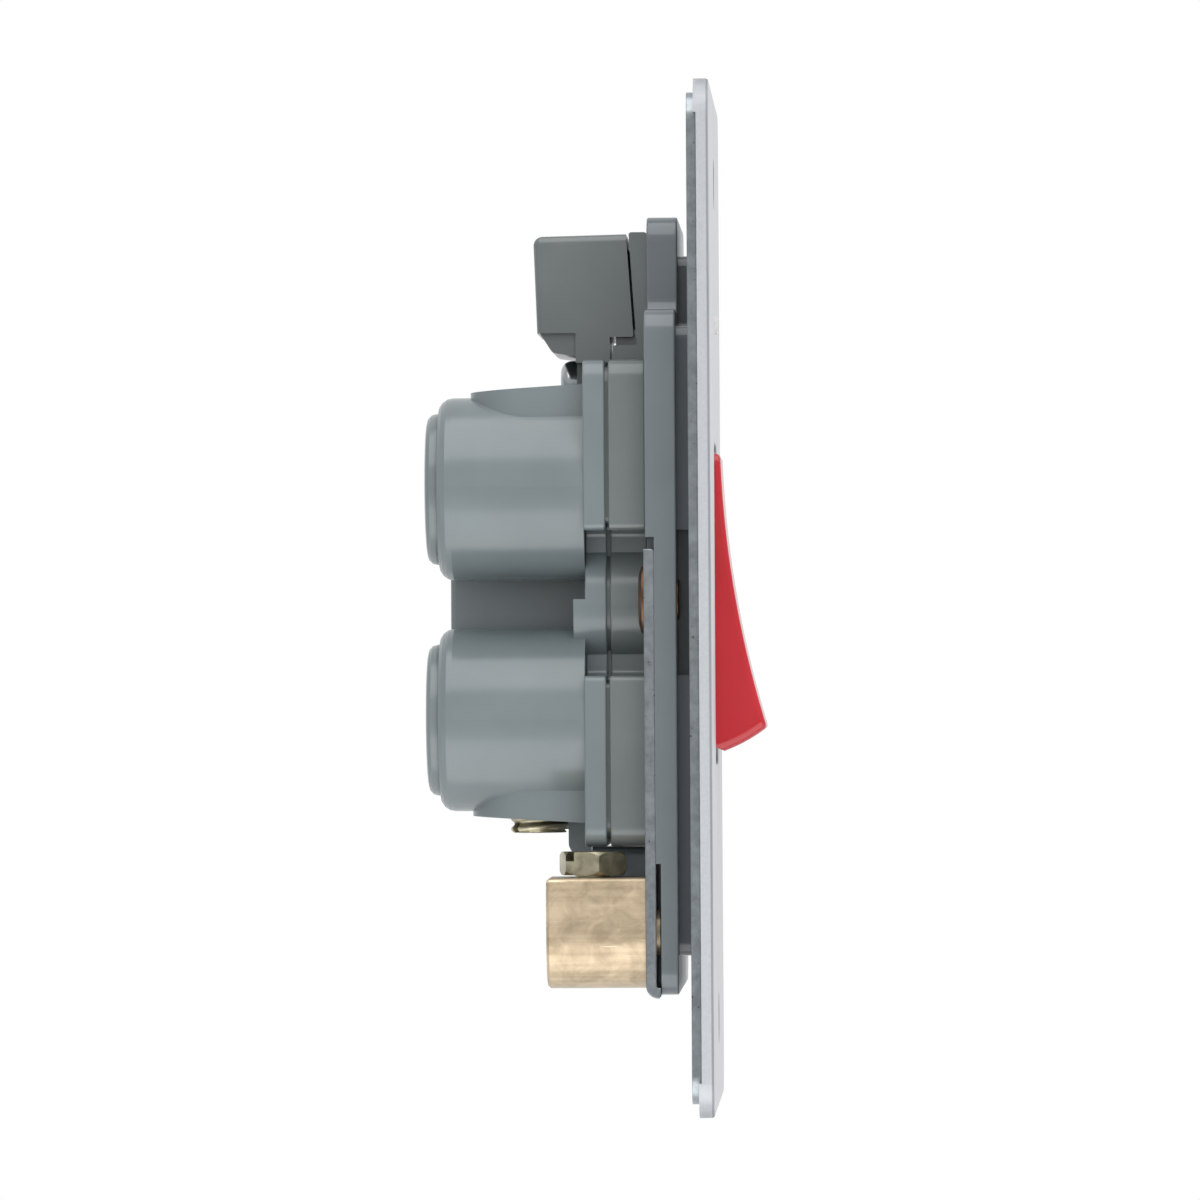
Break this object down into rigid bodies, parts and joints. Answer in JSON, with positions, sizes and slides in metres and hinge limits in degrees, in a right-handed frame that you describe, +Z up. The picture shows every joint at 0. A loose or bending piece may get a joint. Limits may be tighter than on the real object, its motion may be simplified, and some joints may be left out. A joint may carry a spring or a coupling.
{
  "type": "cooker switch",
  "caption": "Double-pole cooker control switch: tall steel plate, red rocker, grey moulded mechanism with round terminal turrets, lamp block and brass earth terminal.",
  "frame": {"origin": "centre of the two fixing holes on the wall plane, which is the rear face of the backing plate", "axes": "+Z up along the tall plate, -Y out of the wall to the user, +X to the right seen from the front"},
  "size_m": [0.086, 0.0482, 0.146],
  "materials": {
    "satin_steel": "satin",
    "zinc_steel": "zinc plated",
    "grey_frame": "moulded",
    "grey_base": "moulded",
    "grey_housing": "moulded",
    "grey_lamp_block": "moulded",
    "red_rocker": "gloss",
    "clear_lens": "clear",
    "eyelet_brass": "formed",
    "turned_brass": "machined",
    "zinc_screw": "passivated zinc",
    "dark_screw": "black zinc",
    "copper": "stamped",
    "contact_silver": "polished",
    "natural_nylon": "moulded",
    "spring_steel": "drawn",
    "lamp_glass": "clear",
    "board_laminate": "laminate",
    "lead_insulation": "extruded"
  },
  "bodies": {
    "switch": {"front_plate": "satin_steel", "backing_plate": "zinc_steel", "earth_strap": "zinc_steel", "mounting_frame": "grey_frame", "mechanism_base": "grey_base", "terminal_housing": "grey_housing", "indicator_housing": "grey_lamp_block", "indicator_carrier": "grey_lamp_block", "indicator_lens": "clear_lens", "earth_rivet": "eyelet_brass", "earth_terminal": "turned_brass", "line_in_terminal": "turned_brass", "line_out_terminal": "turned_brass", "neutral_in_terminal": "turned_brass", "neutral_out_terminal": "turned_brass", "earth_screw": "zinc_screw", "terminal_screws": "zinc_screw", "frame_screws": "zinc_screw", "module_screws": "dark_screw", "line_fixed_contact": "copper", "line_pivot_bar": "copper", "neutral_fixed_contact": "copper", "neutral_pivot_bar": "copper", "contact_buttons": "contact_silver", "indicator_lamp": "lamp_glass", "indicator_board": "board_laminate", "indicator_leads": "lead_insulation"},
    "rocker": {"rocker": "red_rocker", "line_plunger_spring": "spring_steel", "neutral_plunger_spring": "spring_steel"},
    "line_plunger": {"line_plunger": "natural_nylon"},
    "neutral_plunger": {"neutral_plunger": "natural_nylon"},
    "line_arm": {"line_contact_arm": "copper", "line_arm_button": "contact_silver"},
    "neutral_arm": {"neutral_contact_arm": "copper", "neutral_arm_button": "contact_silver"}
  },
  "joints": [
    {"name": "rocker_tilt", "type": "hinge", "parent": "switch", "child": "rocker", "pos_m": [0, 0.0034, -0.0005], "axis": [1, 0, 0], "range_deg": [0, 18.7]},
    {"name": "line_plunger_slide", "type": "slide", "parent": "rocker", "child": "line_plunger", "axis": [0, -0.9867, 0.1625], "range_m": [0, 0.0008], "stiffness_N_per_m": 1500, "springref_m": -0.002, "deforming": ["line_plunger_spring"]},
    {"name": "line_arm_tilt", "type": "hinge", "parent": "switch", "child": "line_arm", "pos_m": [0.007, 0.0113, -0.0005], "axis": [1, 0, 0], "range_deg": [-14, 0]},
    {"name": "neutral_plunger_slide", "type": "slide", "parent": "rocker", "child": "neutral_plunger", "axis": [0, -0.9867, 0.1625], "range_m": [0, 0.0008], "stiffness_N_per_m": 1500, "springref_m": -0.002, "deforming": ["neutral_plunger_spring"]},
    {"name": "neutral_arm_tilt", "type": "hinge", "parent": "switch", "child": "neutral_arm", "pos_m": [-0.007, 0.0113, -0.0005], "axis": [1, 0, 0], "range_deg": [-14, 0]}
  ],
  "couplings": [
    {"joint": "line_arm_tilt", "follows": "rocker_tilt", "ratio": -0.748},
    {"joint": "neutral_arm_tilt", "follows": "rocker_tilt", "ratio": -0.748}
  ]
}
